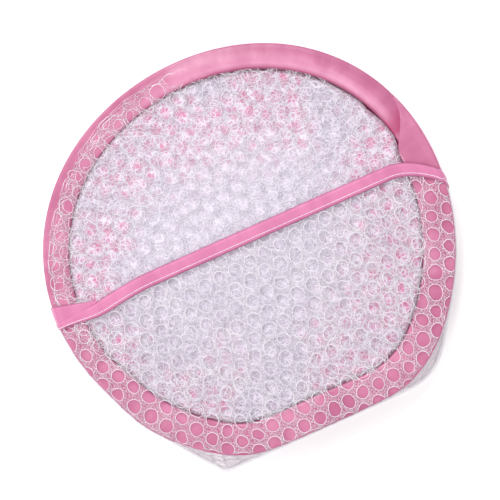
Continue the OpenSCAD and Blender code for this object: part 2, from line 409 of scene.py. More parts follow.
def foldedNet(name, look):
    # many folds of white net seen together: overlapping holes that go pink near the rim
    # a faint emission in the pink haze colour is a painted glow
    material, tree, shader = newMaterial(name, 0.7, Sheen_Weight=0.4, Sheen_Roughness=0.4,
                                         Emission_Color=look["haze"], Emission_Strength=look["glow"])
    at = put(tree, "ShaderNodeTexCoord").outputs["Object"]
    centred = vmath(tree, "SUBTRACT", at, (discX * mm, discY * mm, 0.0))
    out = vmath(tree, "LENGTH", vmath(tree, "MULTIPLY", centred, (1.0, 1.0, 0.0)), out=1)
    one = useGroup(tree, netHoles, position=at, pitch=look["pitch"], hole=0.31, turn=0.4)
    two = useGroup(tree, netHoles, position=at, pitch=look["pitch"] * 1.06, hole=0.3, turn=1.1)
    three = useGroup(tree, netHoles, position=at, pitch=look["pitch"] * 0.9, hole=0.28, turn=-0.3)
    patch = ramp(tree, fuzz(tree, at, look["patchScale"], 2.0), 0.42, 0.62)
    fibres = fuzz(tree, vmath(tree, "MULTIPLY", at, (1.0, 1.0, 0.3)), 2600.0, 4.0)
    white = blendColour(tree, ramp(tree, fibres, 0.35, 0.65), look["dark"], look["light"])
    shade = math(tree, "MULTIPLY", math(tree, "ADD", one["Hole"], two["Hole"]), 0.5)
    grey = blendColour(tree, math(tree, "MULTIPLY", shade, look["holeShade"]), white, look["gap"])
    wander = vmath(tree, "ADD", at, vmath(tree, "SCALE", fuzz(tree, at, 500.0, 2.0, 1), scale=0.0016))
    lace = []
    for size, wide in look["lace"]:
        cells = put(tree, "ShaderNodeTexVoronoi", {"Vector": wander, "Scale": 1.0 / size},
                    feature="DISTANCE_TO_EDGE").outputs["Distance"]
        lace.append(ramp(tree, cells, wide * 0.4, wide, 1.0, 0.0))
    threads = math(tree, "MAXIMUM", lace[0], lace[1])
    rim = ramp(tree, out, look["pinkFrom"], look["pinkTo"])
    open1 = math(tree, "MULTIPLY", one["Hole"], math(tree, "MULTIPLY_ADD", three["Hole"], 0.6, 0.4))
    deep = math(tree, "MINIMUM", math(tree, "MULTIPLY", open1, 1.5), 1.0)
    pinkness = math(tree, "MULTIPLY", math(tree, "MULTIPLY", deep, rim), patch)
    pink = blendColour(tree, math(tree, "MULTIPLY", pinkness, look["pinkShare"]), grey, look["pink"])
    haze = math(tree, "MULTIPLY", math(tree, "MULTIPLY", rim, patch), look["hazeShare"])
    hazed = blendColour(tree, haze, pink, look["haze"])
    # painted shade: dark specks near the pad's outer edge, where the gaps between its folded layers fall in
    # shade
    paintedGapShade = ramp(tree, fuzz(tree, at, 900.0, 2.0), 0.62, 0.7)
    edge = ramp(tree, out, look["speckFrom"], look["speckTo"])
    dark = math(tree, "MULTIPLY", math(tree, "MULTIPLY", paintedGapShade, edge), look["speckShare"])
    specked = blendColour(tree, dark, hazed, look["paintedGapShade"])
    cover = math(tree, "MULTIPLY", threads, math(tree, "MULTIPLY_ADD", open1, -0.6, 0.9))
    inward = math(tree, "SUBTRACT", 1.0, ramp(tree, out, look["heartFrom"], look["heartTo"]))
    heart = math(tree, "MULTIPLY", inward, look["heartShare"])
    hearty = blendColour(tree, heart, specked, look["heart"])
    tree.links.new(blendColour(tree, cover, hearty, look["thread"]), shader["Base Color"])
    bump(tree, shader, math(tree, "MULTIPLY_ADD", threads, 0.7, fibres), 0.5, 0.0005)
    return material


def steel(name, look):
    material, tree, shader = newMaterial(name, look["roughness"], Metallic=1.0)
    at = put(tree, "ShaderNodeTexCoord").outputs["Object"]
    drawn = fuzz(tree, vmath(tree, "MULTIPLY", at, (1.0, 1.0, 9.0)), 900.0, 3.0)
    tree.links.new(blendColour(tree, drawn, look["dark"], look["light"]), shader["Base Color"])
    rougher = ramp(tree, drawn, 0.3, 0.7, look["roughness"] - 0.08, look["roughness"] + 0.1)
    tree.links.new(rougher, shader["Roughness"])
    bump(tree, shader, drawn, 0.2, 0.0001)
    return material


print("materials")
# the tape's look holds a painted highlight colour, a painted shade colour for its outer side, a painted
# shadow colour for its folds, and a painted deep-pink glow
pinkTape = {
    "dark": (0.43, 0.105, 0.22, 1), "light": (0.54, 0.18, 0.31, 1), "roughness": 0.34, "sheen": 0.15,
    "coat": 0.3, "paintedGlowTint": (0.75, 0.05, 0.27, 1), "glow": 0.08,
    "paintedHighlight": (0.82, 0.40, 0.58, 1), "paintedFlankShade": (0.34, 0.075, 0.17, 1), "fold": (0.34, 0.012, 0.09, 1),
    "pitch": 0.00032, "wrinkle": 0.9, "wrinkleSize": 0.007, "bump": 0.55, "crownShare": 0.55,
}
pinkBinding = dict(pinkTape, dark=(0.53, 0.15, 0.305, 1), light=(0.63, 0.203, 0.375, 1), roughness=0.46,
                   wrinkle=0.5, bump=0.4, coat=0.05)
pinkWebbing = dict(pinkTape, pitch=0.0011, roughness=0.6, wrinkle=0.25, bump=0.8, coat=0.0)
whiteYarn = {"light": (0.89, 0.85, 0.90, 1), "dark": (0.78, 0.73, 0.81, 1), "roughness": 0.5,
             "glow": 0.15}
innerYarn = {"light": (0.90, 0.88, 0.925, 1), "dark": (0.80, 0.775, 0.85, 1), "roughness": 0.55,
             "glow": 0.2}
whiteThread = {"light": (0.90, 0.88, 0.92, 1), "dark": (0.78, 0.72, 0.80, 1), "roughness": 0.45,
               "glow": 0.1}
# the pad's look holds painted shade for its holes and for dark specks near its edge, and a faint painted glow
netPad = {
    "light": (0.56, 0.49, 0.60, 1), "dark": (0.43, 0.36, 0.47, 1), "gap": (0.36, 0.27, 0.38, 1),
    "pink": (0.60, 0.05, 0.20, 1), "haze": (0.62, 0.21, 0.39, 1), "paintedGapShade": (0.16, 0.08, 0.14, 1),
    "thread": (0.74, 0.69, 0.77, 1), "lace": ((0.0030, 0.13), (0.0019, 0.10)),
    "heart": (0.64, 0.60, 0.70, 1), "heartShare": 0.6, "heartFrom": 0.03, "heartTo": 0.08,
    "glow": 0.03, "pitch": 0.0086, "patchScale": 24.0, "holeShade": 0.5, "pinkFrom": 0.024, "pinkTo": 0.072,
    "pinkShare": 1.0, "hazeShare": 0.7, "speckFrom": 0.055, "speckTo": 0.088, "speckShare": 0.75,
}
wireSteel = {"light": (0.55, 0.55, 0.56, 1), "dark": (0.34, 0.34, 0.35, 1), "roughness": 0.35}
sleeveZinc = {"light": (0.70, 0.70, 0.71, 1), "dark": (0.50, 0.50, 0.52, 1), "roughness": 0.45}

casingSatin = satin("casingSatin", pinkTape)
bindingSatin = satin("bindingSatin", pinkBinding)
webbingWeave = satin("webbingWeave", pinkWebbing)
pouchYarn = yarn("pouchYarn", whiteYarn)
bagYarn = yarn("bagYarn", innerYarn)
threadWhite = yarn("threadWhite", whiteThread)
padNet = foldedNet("padNet", netPad)
wireMetal = steel("wireMetal", wireSteel)
sleeveMetal = steel("sleeveMetal", sleeveZinc)


# Geometry Nodes: the knitted net and the rows of stitches

def buildKnittedNet():
    tree, a, out = newGroup("knittedNet", "GeometryNodeTree", [
        ("Geometry", "Geometry", None), ("Pitch", "Float", 8.6 * mm), ("Ring", "Float", 3.25 * mm),
        ("Stretch", "Float", 1.14), ("Fuzz", "Float", 0.75 * mm), ("Yarn", "Float", 0.2 * mm),
        ("Filament", "Float", 0.11 * mm), ("Turn", "Float", 0.0), ("Columns", "Int", 28),
        ("Rows", "Int", 30), ("Stray", "Float", 1.2 * mm), ("Lift", "Float", 0.0), ("Seed", "Int", 1),
        ("Flat Size", "Float", 0.3), ("Sides", "Int", 3), ("Second Lace", "Bool", False),
        ("Material", "Material", None)],
        [("Geometry", "Geometry")])

    def circle(count, radius):
        return put(tree, "GeometryNodeCurvePrimitiveCircle", {"Resolution": count, "Radius": radius})

    def thickness(curve, value):
        kinds = {"Geometry": curve, "Name": "thick", "Value": value}
        return put(tree, "GeometryNodeStoreNamedAttribute", kinds, data_type="FLOAT",
                   domain="POINT").outputs[0]

    place = put(tree, "GeometryNodeInputPosition").outputs[0]
    index = put(tree, "GeometryNodeInputIndex").outputs[0]
    # the yarn round each hole, and the laid-in filament that zigzags round it
    ring = thickness(circle(16, a["Ring"]).outputs[0], a["Yarn"])
    wide = circle(34, math(tree, "ADD", a["Ring"], math(tree, "MULTIPLY", a["Fuzz"], 1.1)))
    odd = math(tree, "MULTIPLY_ADD", math(tree, "MODULO", index, 2.0), 2.0, -1.0)
    outward = vmath(tree, "NORMALIZE", place)
    step = vmath(tree, "SCALE", outward, scale=math(tree, "MULTIPLY", odd, a["Fuzz"]))

    def lace(curve):
        zigzag = put(tree, "GeometryNodeSetPosition", {"Geometry": curve.outputs[0], "Offset": step})
        return thickness(zigzag.outputs[0], a["Filament"])

    more = circle(26, math(tree, "ADD", a["Ring"], math(tree, "MULTIPLY", a["Fuzz"], 1.4)))
    second = put(tree, "GeometryNodeSwitch", {"Switch": a["Second Lace"], "True": lace(more)},
                 input_type="GEOMETRY").outputs[0]
    cell = put(tree, "GeometryNodeJoinGeometry")
    for part in (ring, lace(wide), second):
        tree.links.new(part, cell.inputs[0])
    shape = put(tree, "ShaderNodeCombineXYZ", {0: 1.0, 1: a["Stretch"], 2: 1.0}).outputs[0]
    stretched = put(tree, "GeometryNodeSetPosition",
                    {"Geometry": cell.outputs[0], "Position": vmath(tree, "MULTIPLY", place, shape)})
    # the hexagonal lattice, turned on the cloth
    rowStep = math(tree, "MULTIPLY", math(tree, "MULTIPLY", a["Pitch"], a["Stretch"]), 0.866)
    lattice = put(tree, "GeometryNodeMeshGrid", {
        "Size X": math(tree, "MULTIPLY", a["Pitch"], math(tree, "SUBTRACT", a["Columns"], 1.0)),
        "Size Y": math(tree, "MULTIPLY", rowStep, math(tree, "SUBTRACT", a["Rows"], 1.0)),
        "Vertices X": a["Columns"], "Vertices Y": a["Rows"]}).outputs[0]
    row = math(tree, "MODULO", math(tree, "MODULO", index, a["Rows"]), 2.0)
    half = put(tree, "ShaderNodeCombineXYZ", {0: math(tree, "MULTIPLY", math(
        tree, "MULTIPLY", row, a["Pitch"]), 0.5)}).outputs[0]
    offset = vmath(tree, "ADD", place, half)
    turned = put(tree, "ShaderNodeVectorRotate", {"Vector": offset, "Angle": a["Turn"]},
                 rotation_type="Z_AXIS").outputs[0]
    lattice = put(tree, "GeometryNodeSetPosition", {"Geometry": lattice, "Position": turned}).outputs[0]
    size = put(tree, "FunctionNodeRandomValue", {2: 0.9, 3: 1.08, "Seed": a["Seed"]},
               data_type="FLOAT").outputs[1]
    lean = put(tree, "FunctionNodeRandomValue",
               {2: -0.25, 3: 0.25, "Seed": math(tree, "ADD", a["Seed"], 7.0)}, data_type="FLOAT").outputs[1]
    angle = put(tree, "ShaderNodeCombineXYZ", {2: math(tree, "ADD", lean, a["Turn"])}).outputs[0]
    placed = put(tree, "GeometryNodeInstanceOnPoints", {
        "Points": lattice, "Instance": stretched.outputs[0], "Rotation": angle, "Scale": size})
    loose = put(tree, "GeometryNodeRealizeInstances", {0: placed.outputs[0]}).outputs[0]
    # a little stray, then onto the draped cloth
    seedAt = put(tree, "ShaderNodeCombineXYZ", {2: a["Seed"]}).outputs[0]

    def drift(scale, strength, detail):
        at = vmath(tree, "ADD", place, vmath(tree, "SCALE", seedAt, scale=0.37))
        soft = vmath(tree, "SUBTRACT", fuzz(tree, at, scale, detail, 1), (0.5, 0.5, 0.5))
        return vmath(tree, "MULTIPLY", vmath(tree, "SCALE", soft, scale=strength), (1.0, 1.0, 0.0))

    both = vmath(tree, "ADD", drift(60.0, math(tree, "MULTIPLY", a["Stray"], 3.0), 1.0),
                 drift(420.0, a["Stray"], 2.0))
    loose = put(tree, "GeometryNodeSetPosition", {"Geometry": loose, "Offset": both}).outputs[0]
    uv = vmath(tree, "ADD", vmath(tree, "SCALE", place, scale=math(
        tree, "DIVIDE", 1.0, a["Flat Size"])), (0.5, 0.5, 0.0))
    clothUv = put(tree, "GeometryNodeInputNamedAttribute", {"Name": "UVMap"},
                  data_type="FLOAT_VECTOR").outputs[0]
    normal = put(tree, "GeometryNodeInputNormal").outputs[0]
    found = []
    for value in (place, normal):
        found.append(put(tree, "GeometryNodeSampleUVSurface",
                         {"Mesh": a["Geometry"], 1: value, 2: clothUv, 3: uv},
                         data_type="FLOAT_VECTOR").outputs)
    missing = put(tree, "FunctionNodeBooleanMath", {0: found[0]["Is Valid"]}, operation="NOT").outputs[0]
    rise = math(tree, "ADD", a["Lift"], math(tree, "MULTIPLY", math(
        tree, "SUBTRACT", fuzz(tree, place, 500.0, 1.0), 0.5), math(tree, "MULTIPLY", a["Yarn"], 3.0)))
    landed = vmath(tree, "ADD", found[0][0], vmath(tree, "SCALE", found[1][0], scale=rise))
    # the positions are kept before any point goes, so that both read the same field
    held = put(tree, "GeometryNodeStoreNamedAttribute",
               {"Geometry": loose, "Name": "landed", "Value": landed},
               data_type="FLOAT_VECTOR", domain="POINT").outputs[0]
    kept = put(tree, "GeometryNodeDeleteGeometry", {"Geometry": held, "Selection": missing},
               domain="POINT").outputs[0]
    back = put(tree, "GeometryNodeInputNamedAttribute", {"Name": "landed"},
               data_type="FLOAT_VECTOR").outputs[0]
    laid = put(tree, "GeometryNodeSetPosition", {"Geometry": kept, "Position": back}).outputs[0]
    thick = put(tree, "GeometryNodeInputNamedAttribute", {"Name": "thick"}, data_type="FLOAT").outputs[0]
    profile = put(tree, "GeometryNodeCurvePrimitiveCircle",
                  {"Resolution": a["Sides"], "Radius": 1.0}).outputs[0]
    tube = put(tree, "GeometryNodeCurveToMesh", {"Curve": laid, "Profile Curve": profile, "Scale": thick})
    soft = put(tree, "GeometryNodeSetShadeSmooth", {"Geometry": tube.outputs[0]}).outputs[0]
    real = put(tree, "GeometryNodeRealizeInstances", {0: soft}).outputs[0]
    last = put(tree, "GeometryNodeSetMaterial", {"Geometry": real, "Material": a["Material"]}).outputs[0]
    tree.links.new(last, out["Geometry"])
    return tree


def buildStitchRow():
    # short arched stitches that follow a line of edges
    tree, a, out = newGroup("stitchRow", "GeometryNodeTree", [
        ("Geometry", "Geometry", None), ("Pitch", "Float", 3.0 * mm), ("Length", "Float", 2.5 * mm),
        ("Thread", "Float", 0.2 * mm), ("Arch", "Float", 0.1 * mm), ("Slant", "Float", 0.0),
        ("Material", "Material", None)], [("Geometry", "Geometry")])
    place = put(tree, "GeometryNodeInputPosition").outputs[0]
    path = put(tree, "GeometryNodeMeshToCurve", {"Mesh": a["Geometry"]}).outputs[0]
    points = put(tree, "GeometryNodeCurveToPoints", {"Curve": path, "Length": a["Pitch"]}, mode="LENGTH")
    halfLength = math(tree, "MULTIPLY", a["Length"], 0.5)
    start = put(tree, "ShaderNodeCombineXYZ", {0: math(tree, "MULTIPLY", halfLength, -1.0)}).outputs[0]
    end = put(tree, "ShaderNodeCombineXYZ", {0: halfLength}).outputs[0]
    line = put(tree, "GeometryNodeCurvePrimitiveLine", {"Start": start, "End": end}).outputs[0]
    line = put(tree, "GeometryNodeResampleCurve", {"Curve": line, "Count": 7}).outputs[0]
    along = put(tree, "ShaderNodeSeparateXYZ", {0: vmath(tree, "SCALE", place, scale=math(
        tree, "DIVIDE", 1.0, halfLength))}).outputs[0]
    dome = math(tree, "SUBTRACT", 0.6, math(tree, "MULTIPLY", along, along))
    up = put(tree, "ShaderNodeCombineXYZ", {2: math(tree, "MULTIPLY", dome, a["Arch"])}).outputs[0]
    line = put(tree, "GeometryNodeSetPosition", {"Geometry": line, "Offset": up}).outputs[0]
    profile = put(tree, "GeometryNodeCurvePrimitiveCircle", {"Resolution": 6, "Radius": 1.0}).outputs[0]
    stitch = put(tree, "GeometryNodeCurveToMesh", {
        "Curve": line, "Profile Curve": profile, "Scale": a["Thread"], "Fill Caps": True}).outputs[0]
    tangent = points.outputs["Tangent"]
    facing = put(tree, "FunctionNodeAxesToRotation", {0: tangent, 1: (0.0, 0.0, 1.0)},
                 primary_axis="X", secondary_axis="Z").outputs[0]
    slant = put(tree, "FunctionNodeAxisAngleToRotation",
                {"Axis": (0.0, 0.0, 1.0), "Angle": a["Slant"]}).outputs[0]
    turned = put(tree, "FunctionNodeRotateRotation", {0: facing, 1: slant}, rotation_space="LOCAL").outputs[0]
    placed = put(tree, "GeometryNodeInstanceOnPoints", {
        "Points": points.outputs[0], "Instance": stitch, "Rotation": turned}).outputs[0]
    real = put(tree, "GeometryNodeRealizeInstances", {0: placed}).outputs[0]
    soft = put(tree, "GeometryNodeSetShadeSmooth", {"Geometry": real}).outputs[0]
    last = put(tree, "GeometryNodeSetMaterial", {"Geometry": soft, "Material": a["Material"]}).outputs[0]
    tree.links.new(last, out["Geometry"])
    return tree


print("geometry node trees")
knittedNet = buildKnittedNet()
stitchRow = buildStitchRow()


def grow(piece, tree, name, **inputs):
    # runs a tree on a piece and returns its result as a plain mesh
    modifier = piece.modifiers.new("grow", "NODES")
    modifier.node_group = tree
    labels = {item.name: item.identifier for item in tree.interface.items_tree if item.in_out == "INPUT"}
    for label, value in inputs.items():
        modifier[labels[label]] = value
    piece.update_tag()
    depsgraph = bpy.context.evaluated_depsgraph_get()
    mesh = bpy.data.meshes.new_from_object(piece.evaluated_get(depsgraph), depsgraph=depsgraph)
    for extra in ("landed", "thick"):
        if extra in mesh.attributes:
            mesh.attributes.remove(mesh.attributes[extra])
    made = bpy.data.objects.new(name, mesh)
    mesh.name = name
    bpy.context.collection.objects.link(made)
    bpy.data.objects.remove(piece)
    print(name, len(mesh.polygons), "faces")
    return made


def pathMesh(points):
    mesh = bpy.data.meshes.new("path")
    places = (np.asarray(points, float) + [discX, discY, 0]) * mm
    mesh.from_pydata(places.tolist(), [(i, i + 1) for i in range(len(places) - 1)], [])
    piece = bpy.data.objects.new("path", mesh)
    bpy.context.collection.objects.link(piece)
    return piece


# Camera, light and floor

def buildStudio():
    studio = {"lens": 180.0, "sensor": 36.0, "field": 0.250, "aimLeft": 1.5, "aimHigh": 0.024,
              "turn": 24.0, "world": 0.60, "floorHalf": 3.0, "floorDown": 0.0002, "floorGlow": 0.22}
    scene = bpy.context.scene
    scene.view_settings.view_transform = "Standard"
    a = np.radians(studio["turn"])
    right = Vector((np.cos(a), -np.sin(a), 0))
    up = Vector((np.sin(a), np.cos(a), 0))
    data = bpy.data.cameras.new("camera")
    data.lens = studio["lens"]
    data.sensor_width = studio["sensor"]
    camera = bpy.data.objects.new("camera", data)
    scene.collection.objects.link(camera)
    distance = studio["field"] * studio["lens"] / studio["sensor"]
    aim = Vector((discX, discY, 0)) * mm - right * studio["aimLeft"] * mm
    turn = Matrix((right, up, Vector((0, 0, 1)))).transposed().to_4x4()
    camera.matrix_world = Matrix.Translation(aim + Vector((0, 0, studio["aimHigh"] + distance))) @ turn
    data.clip_start, data.clip_end = 0.01, 20
    scene.camera = camera

    world = bpy.data.worlds.new("studio")
    world.use_nodes = True
    world.node_tree.nodes["Background"].inputs[0].default_value = (1.0, 1.0, 1.0, 1)
    world.node_tree.nodes["Background"].inputs[1].default_value = studio["world"]
    scene.world = world
    lamps = {
        "topLight": (up * 0.9 - right * 0.35 + Vector((0, 0, 1.3)), 0.8, 15.0),
        "leftLight": (-right * 1.3 + Vector((0, 0, 1.0)), 0.8, 6.0),
        "glossLight": (-right * 0.45 - up * 0.5 + Vector((0, 0, 1.5)), 0.45, 5.0),
        "fillLight": (right * 1.1 - up * 0.7 + Vector((0, 0, 1.2)), 1.0, 2.2),
    }
    for name, (place, size, power) in lamps.items():
        lamp = bpy.data.lights.new(name, "AREA")
        lamp.shape = "DISK"
        lamp.size = size
        lamp.energy = power
        holder = bpy.data.objects.new(name, lamp)
        holder.location = place
        holder.rotation_mode = "QUATERNION"
        holder.rotation_quaternion = (-place).to_track_quat("-Z", "Y")
        scene.collection.objects.link(holder)

    floorMesh = bpy.data.meshes.new("studioFloor")
    half = studio["floorHalf"]
    z = -studio["floorDown"]
    floorMesh.from_pydata([(-half, -half, z), (half, -half, z), (half, half, z), (-half, half, z)], [],
                          [(0, 1, 2, 3)])
    floor = bpy.data.objects.new("studioFloor", floorMesh)
    scene.collection.objects.link(floor)
    material, tree, shader = newMaterial("paleFloor", 0.8, Emission_Color=(1.0, 1.0, 1.0, 1),
                                         Emission_Strength=studio["floorGlow"])
    at = put(tree, "ShaderNodeTexCoord").outputs["Object"]
    soft = ramp(tree, fuzz(tree, at, 6.0, 2.0), 0.3, 0.7)
    tree.links.new(blendColour(tree, soft, (0.95, 0.95, 0.955, 1), (0.97, 0.97, 0.97, 1)),
                   shader["Base Color"])
    floorMesh.materials.append(material)


print("studio")
buildStudio()


# Frame casings: satin tape puffed round each coiled wire

casing = {
    "step": 3.0, "topStep": 2.0,
    "across": (0.0, 0.02, 0.06, 0.12, 0.22, 0.36, 0.5, 0.64, 0.78, 0.9, 0.97, 1.0, 0.97, 0.7, 0.4, 0.1,
               0.03),
    "height": (0.5, 0.86, 1.0, 0.97, 0.8, 0.74, 0.76, 0.74, 0.66, 0.5, 0.42, 0.3, 0.16, 0.03, 0.0, 0.0,
               0.12),
    "topCount": 11, "puffAt": 0.7, "puff": 2.2, "quietPuff": 0.5, "crease": 0.12,
    "tapeWide": 28.0, "crestAt": 0.74, "crestWide": 0.13, "topFrom": 740, "glossFrom": 900, "glossTo": 110,
}
nodeWide = 0.12 * bag["casingWide"]


# Where the top leaf's coil crosses itself: degrees past the crossing, and millimetres
crossing = {
    "diveFrom": 14, "diveRun": 36,
    "slip": 14.0, "slipFrom": 1, "slipRun": 18, "slipBack": 36, "slipBackRun": 20,
    "trim": 2.4, "rise": 1.28, "settle": 0.28, "wide": 16.2, "wideLess": 3.2, "tipWide": 2.4, "in": 0.3,
}


def coilPath(leaf, t):
    # outer radius, heading, height and width of the tape along the coil
    heading = bag["crossAt"][leaf - 1] - t
    if leaf < 4:
        r = discR(heading) - spread(t) - lane(t)
        return r, heading, leafZ(leaf) + level(t) * bag["strandPitch"], np.full_like(t, bag["casingWide"])
    turn = np.floor(t / 360)
    b = t - 360 * turn
    u = np.where(b > 180, b - 360, b)
    first = ((turn == 0) & (u >= 0)) | ((turn == 2) & (u < 0))
    second = ((turn == 2) & (u >= 0)) | ((turn == 1) & (u < 0))
    dive = 2 - 2 * smooth((u + crossing["diveFrom"]) / crossing["diveRun"])
    slipOut = smooth((u - crossing["slipFrom"]) / crossing["slipRun"])
    slipIn = 1 - smooth((u - crossing["slipBack"]) / crossing["slipBackRun"])
    slip = crossing["slip"] * slipOut * slipIn
    trim = crossing["trim"] * smooth((u + 13) / 14) * (1 - smooth((u - 10) / 14))
    rise = 1 + crossing["rise"] * smooth((u + 14) / 8) - crossing["settle"] * smooth((u - 8) / 16)
    follow = smooth((u - 12) / 18)
    high = np.where(first, dive, np.where(second, rise, follow))
    pinch = smooth((u + 25) / 7) * (1 - smooth((u + 8) / 13.5))
    narrowing = crossing["wide"] - crossing["wideLess"] * smooth((b - 150) / 40)
    late = np.where(second & (turn == 2), narrowing, bag["casingWide"])
    widening = mix(bag["casingWide"], crossing["wide"], smooth((u + 12) / 10))
    pinched = mix(np.where(u < 0, widening, late), crossing["tipWide"], pinch)
    wide = np.where(second, pinched, late) - np.where(first, trim, 0.0)
    r = discR(heading) - crossing["in"] - np.where(first, slip + trim, 0.0)
    return r, heading, leafZ(leaf) + high * bag["strandPitch"], wide


def buildCasing(leaf):
    t = np.arange(0, 1080, casing["topStep"] if leaf == 4 else casing["step"]) + 0.5
    r, heading, base, wide = coilPath(leaf, t)
    across, high = np.array(casing["across"]), np.array(casing["height"])
    outer = across * bag["casingWide"]
    inner = nodeWide + (across[None, :] - 0.12) / 0.88 * (wide[:, None] - nodeWide)
    inset = np.where(across[None, :] <= 0.12, outer[None, :], inner)
    lift = np.repeat(high[None, :], len(t), 0) * bag["casingHigh"] * 0.96
    top = np.arange(len(across)) < casing["topCount"]
    crown = np.clip(1 - ((across - casing["puffAt"]) / 0.6) ** 2, 0, 1)
    if leaf == 4:
        f = (heading + 360) % 360
        f = np.where(f > 300, f - 360, f)
        glossy = (t > casing["glossFrom"]) & (f < casing["glossTo"])
        swell = smooth((casing["glossTo"] - f) / 45) * smooth((f - 14) / 12)
        onTop = t > casing["topFrom"]
        puff = np.where(onTop, casing["quietPuff"], 0) + np.where(glossy, casing["puff"] * swell, 0)
        lift = lift + top * crown * puff[:, None]
    z = base[:, None] + lift
    x, y = polar(r[:, None] - inset, heading[:, None])
    points = np.stack([x, y, z], -1)
    alongM = t / 360 * 2 * np.pi * bag["radius"]
    line = np.stack([np.broadcast_to(alongM[:, None] / 9, inset.shape), inset / 5, z * 0], -1)
    crease = rough(line, 1.0, leaf * 3.7) + 0.5 * rough(line * 2.3, 1.0, leaf * 5.1)
    points[..., 2] += top * crease * casing["crease"] * (2.0 if leaf == 4 else 1.0) * (across < 0.95)
    around = np.cumsum(np.hypot(np.diff(across) * 13, np.diff(high) * 1.7))
    girth = np.concatenate([[0], around, [casing["tapeWide"]]])
    alongM = np.append(alongM, 6 * np.pi * bag["radius"])
    flat = np.stack(np.meshgrid(alongM, girth, indexing="ij"), -1) * mm
    piece = gridMesh(f"frameCasing{leaf}", points, flat, True, True)
    if leaf == 4:
        # painted light on the top leaf's tape, stored as the crown attribute: a streaky painted highlight
        # near its inner side and painted shade down its outer side
        streak = 0.75 + 0.5 * crease
        paintedHighlight = np.exp(-((across - casing["crestAt"]) / casing["crestWide"]) ** 2)
        paintedFlankShade = 0.75 * smooth((0.46 - across) / 0.3) + 0.6 * smooth((0.05 - across) / 0.05)
        strength = np.where(onTop, 0.35, 0) + np.where(glossy, 0.65 * smooth((125 - f) / 50), 0)
        crown = (paintedHighlight * streak - paintedFlankShade) * strength[:, None] * top
        # painted shadow, stored as the fold attribute: where the tape runs into the crossing and under the
        # glossy band's inner edge
        before = 0.8 * smooth((t - 1071) / 7)
        under = smooth((across - 0.955) / 0.03) * smooth((t - 985) / 25)[:, None]
        paintedFoldShadow = np.clip(before[:, None] + under * top, 0, 1)
        for label, values in (("crown", crown), ("fold", paintedFoldShadow)):
            layer = piece.data.attributes.new(label, "FLOAT", "POINT")
            layer.data.foreach_set("value", np.ascontiguousarray(values, np.float32).ravel())
    tidyMesh(piece)
    return points, piece


bodies = {1: "bag_base", 2: "coil_2", 3: "coil_3", 4: "coil_4"}
casingRows = {}
print("casings")
for leaf in (1, 2, 3, 4):
    casingRows[leaf], piece = buildCasing(leaf)
    finish(piece, casingSatin, bodies[leaf], [f"frame_casing_{leaf}"])


def roundWire(leaf, t, reach):
    # points at a distance from the wire's middle, along its coil
    r, heading, base, wide = coilPath(leaf, t)
    q = np.arange(12) / 12 * 2 * np.pi
    x, y = polar(r[:, None] - bag["wireInset"] + reach[:, None] * np.cos(q)[None, :], heading[:, None])
    z = base[:, None] + bag["casingHigh"] / 2 + reach[:, None] * np.sin(q)[None, :]
    return np.stack([x, y, z], -1)


def buildWire(leaf):
    # one wire, coiled three times, with a small gap where its ends meet in the sleeve
    t = 540 + np.concatenate([[0.3], np.arange(4, 1078, 4.0), [1079.7]])
    half = np.full(len(t), bag["wireThick"] / 2)
    half[[0, -1]] *= 0.8
    piece = gridMesh(f"springWire{leaf}", roundWire(leaf, t % 1080, half),
                     np.zeros((len(t) + 1, 13, 2)), False, True)
    return closeEnds(piece)


def buildSleeve(leaf):
    # a short tube over the wire's ends, crimped in two places
    sleeve = {"length": 9.0, "bore": 0.52, "outer": 0.66, "dent": 0.05}
    along = np.linspace(-0.5, 0.5, 25)
    dent = sleeve["dent"] * (np.exp(-((along - 0.25) / 0.06) ** 2) + np.exp(-((along + 0.25) / 0.06) ** 2))
    outer = sleeve["outer"] - dent
    ends = np.concatenate([along, along[::-1]])
    reach = np.concatenate([outer, np.full(25, sleeve["bore"])])
    t = 540 + np.degrees(ends * sleeve["length"] / (bag["radius"] - bag["wireInset"]))
    piece = gridMesh(f"wireSleeve{leaf}", roundWire(leaf, t, reach), np.zeros((51, 13, 2)), True, True)
    return tidyMesh(piece)


for number in (1, 2, 3, 4):
    body = bodies[number]
    finish(buildWire(number), wireMetal, body, [f"spring_wire_{number}"])
    finish(buildSleeve(number), sleeveMetal, body, [f"wire_sleeve_{number}"])


# Folded mesh of each leaf: a pad of folds, with its outer layers as real net

leafNet = {
    "heapLow": 20.9, "crumple": 0.55, "foldSize": 21.0, "padGap": 0.2,
    "edgeAt": (-25, 20, 33, 44, 56, 73, 97, 110, 136, 161, 174, 184, 196, 215, 300, 335),
    "edgeR": (86.8, 88.5, 90.5, 92.5, 97.5, 97, 98, 99, 100.5, 103, 103.2, 97, 89, 86.5, 86.8, 86.8),
    "overTop": 23.35, "scallop": 0.8, "flangeZ": 21.3,
    "across": 0.172, "topAcross": 0.2, "floorAcross": 0.168, "flatSize": 0.3, "threadShare": 0.31,
}
topNet = {"Columns": 28, "Rows": 28, "Yarn": 0.13 * mm, "Fuzz": 1.1 * mm, "Stray": 2.2 * mm,
          "Material": bagYarn}
innerNet = {"Columns": 28, "Rows": 28, "Yarn": 0.12 * mm, "Fuzz": 1.3 * mm, "Stray": 2.6 * mm,
            "Material": bagYarn}
hiddenNet = {"Columns": 24, "Rows": 24, "Material": bagYarn}


def netEdge(f):
    g = (np.asarray(f, float) + 25) % 360 - 25
    r = np.interp(g, leafNet["edgeAt"] + (335.01,), leafNet["edgeR"] + (86.8,))
    return r + leafNet["scallop"] * np.sin(np.radians(g * 41)) * 0.6


def crumpled(x, y, seed):
    at = np.stack([x, y, np.zeros_like(x)], -1)
    size = leafNet["foldSize"]
    return rough(at, size, seed) + 0.5 * rough(at, size * 0.4, seed + 3.1) + 0.25 * rough(
        at, size * 0.16, seed + 7.7)


